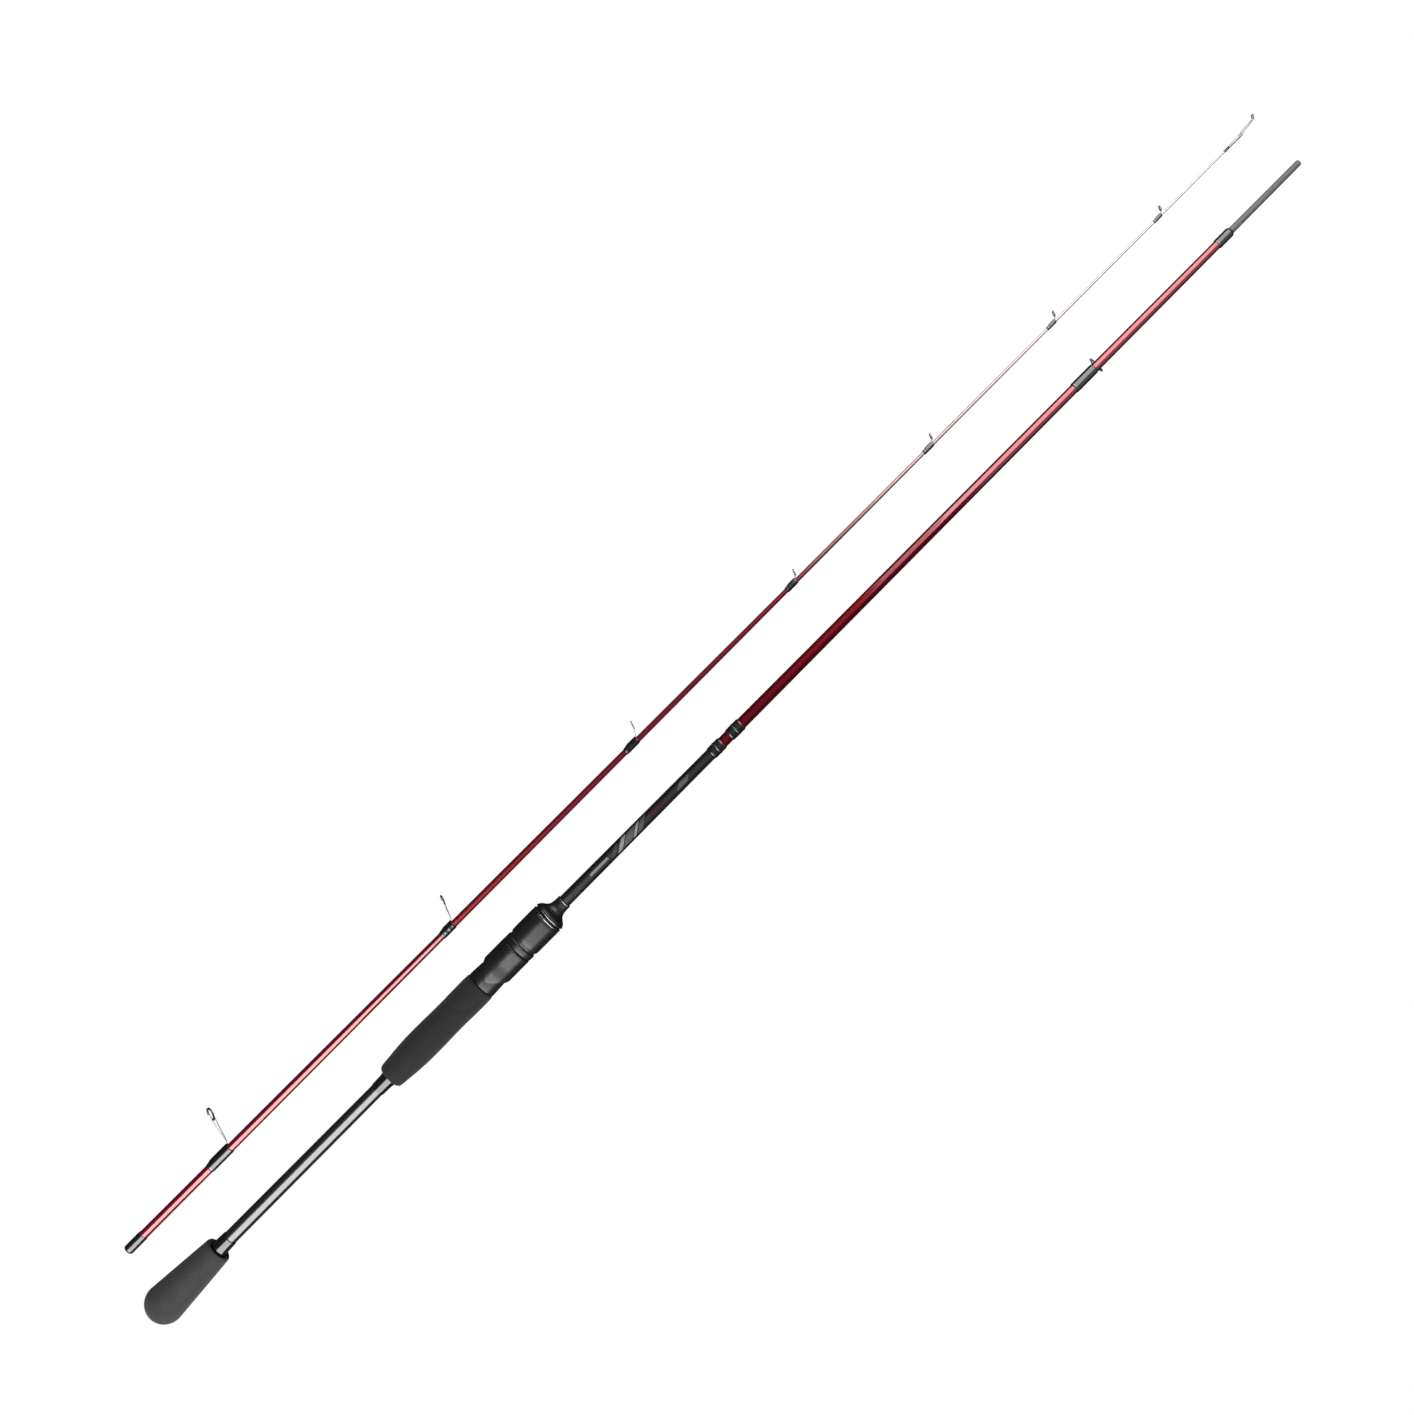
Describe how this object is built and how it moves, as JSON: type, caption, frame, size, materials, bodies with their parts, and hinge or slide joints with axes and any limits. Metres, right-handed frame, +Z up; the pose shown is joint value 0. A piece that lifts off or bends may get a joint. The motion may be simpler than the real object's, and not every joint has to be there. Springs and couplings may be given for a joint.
{
  "type": "spinning rod",
  "caption": "Two-piece spinning fishing rod taken apart: tapered butt and tip sections with spigot ferrule, foam grips, screw-down reel seat and single-foot line guides.",
  "frame": {"origin": "centre of the bounding box's footprint, on the table that the two sections lie on", "axes": "+X along the sections from butt to tip, +Y from the butt section towards the tip section, +Z up"},
  "size_m": [1.1284, 0.088, 0.0401],
  "materials": {
    "grip_foam": "matte closed-cell foam",
    "blank_lacquer": "clear-coated translucent crimson over carbon, black at the handle",
    "graphite": "bare sanded graphite",
    "hood_cushion": "matte",
    "arbor_filler": "rough composite cork",
    "seat_plastic": "satin black",
    "black_trim": "gloss black",
    "silver_trim": "bright turned",
    "guide_steel": "polished gunmetal",
    "ring_ceramic": "polished ceramic",
    "wrap_epoxy": "thread under clear epoxy"
  },
  "bodies": {
    "butt_section": {"butt_blank": "blank_lacquer", "spigot": "graphite", "butt_ferrule_wrap": "wrap_epoxy", "butt_grip": "grip_foam", "butt_grip_check": "black_trim", "rear_grip_check": "black_trim", "rear_grip": "grip_foam", "reel_seat_body": "seat_plastic", "seat_arbor_rear": "arbor_filler", "seat_arbor_middle": "arbor_filler", "seat_arbor_front": "arbor_filler", "fixed_hood": "guide_steel", "fixed_hood_cushion": "hood_cushion", "nose_cone": "seat_plastic", "nose_cone_ring": "silver_trim", "nose_check": "silver_trim", "decor_wrap_rear": "wrap_epoxy", "decor_band_rear": "silver_trim", "decor_wrap_front": "wrap_epoxy", "decor_band_front": "silver_trim", "stripper_guide_frame": "guide_steel", "stripper_guide_ring": "ring_ceramic", "stripper_guide_wrap": "wrap_epoxy"},
    "tip_section": {"tip_blank": "blank_lacquer", "tip_ferrule_wrap": "wrap_epoxy", "guide_2_frame": "guide_steel", "guide_2_ring": "ring_ceramic", "guide_2_wrap": "wrap_epoxy", "guide_3_frame": "guide_steel", "guide_3_ring": "ring_ceramic", "guide_3_wrap": "wrap_epoxy", "guide_4_frame": "guide_steel", "guide_4_ring": "ring_ceramic", "guide_4_wrap": "wrap_epoxy", "guide_5_frame": "guide_steel", "guide_5_ring": "ring_ceramic", "guide_5_wrap": "wrap_epoxy", "guide_6_frame": "guide_steel", "guide_6_ring": "ring_ceramic", "guide_6_wrap": "wrap_epoxy", "guide_7_frame": "guide_steel", "guide_7_ring": "ring_ceramic", "guide_7_wrap": "wrap_epoxy", "guide_8_frame": "guide_steel", "guide_8_ring": "ring_ceramic", "guide_8_wrap": "wrap_epoxy", "tip_top_frame": "guide_steel", "tip_top_ring": "ring_ceramic", "tip_top_wrap": "wrap_epoxy"},
    "moving_hood": {"moving_hood": "seat_plastic", "moving_hood_cushion": "hood_cushion"},
    "lock_nut": {"lock_nut": "seat_plastic", "lock_nut_ring": "silver_trim"}
  },
  "joints": [
    {"name": "tip_section_slide", "type": "slide", "parent": "butt_section", "child": "tip_section", "axis": [1, 0, 0], "range_m": [0, 1.1]},
    {"name": "hood_slide", "type": "slide", "parent": "butt_section", "child": "moving_hood", "axis": [0.9998, 0, 0.0219], "range_m": [-0.0121, 0]},
    {"name": "nut_turn", "type": "hinge", "parent": "moving_hood", "child": "lock_nut", "pos_m": [-0.19432, -0.03, 0.02183], "axis": [0.9998, 0, 0.0219], "range_deg": [-1728, 0]}
  ],
  "couplings": [
    {"joint": "hood_slide", "follows": "nut_turn", "m_per_rad": 0.00039789}
  ]
}
